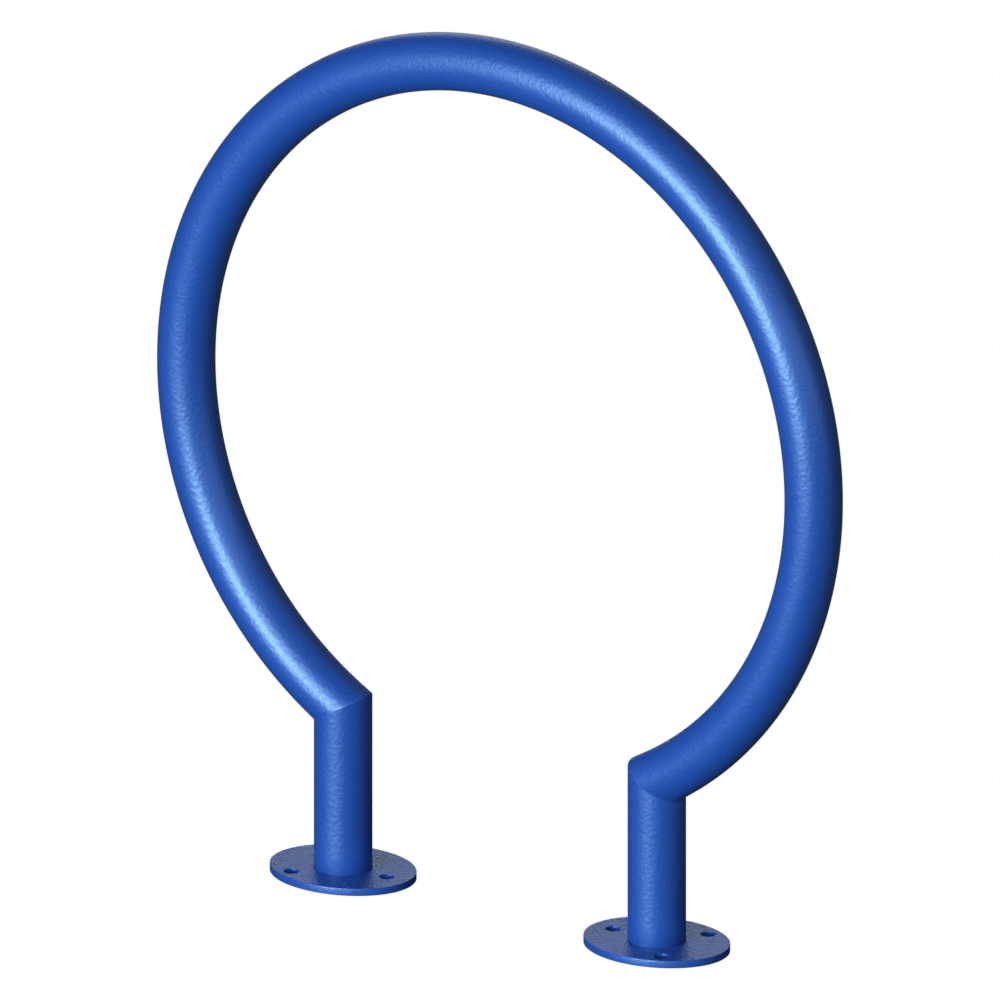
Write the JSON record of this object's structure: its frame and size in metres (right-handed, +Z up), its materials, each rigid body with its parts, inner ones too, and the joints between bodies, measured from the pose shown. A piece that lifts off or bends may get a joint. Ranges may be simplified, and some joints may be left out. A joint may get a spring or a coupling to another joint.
{
  "type": "hoop bike rack",
  "caption": "Round steel pipe hoop mitred on to short upright legs with oval bolt-down floor plates, for leaning and locking bicycles.",
  "frame": {"origin": "on the ground, at the centre of the footprint, midway between the legs", "axes": "+Z up; +X across the rack, in the plane of the hoop; +Y through the hoop"},
  "size_m": [0.8476, 0.129, 0.9473],
  "materials": {
    "powder_coat": "satin"
  },
  "bodies": {
    "root": {"hoop_tube": "powder_coat", "right_leg_tube": "powder_coat", "right_mitre_weld": "powder_coat", "right_floor_plate": "powder_coat", "right_foot_weld": "powder_coat", "left_leg_tube": "powder_coat", "left_mitre_weld": "powder_coat", "left_floor_plate": "powder_coat", "left_foot_weld": "powder_coat"}
  },
  "joints": []
}
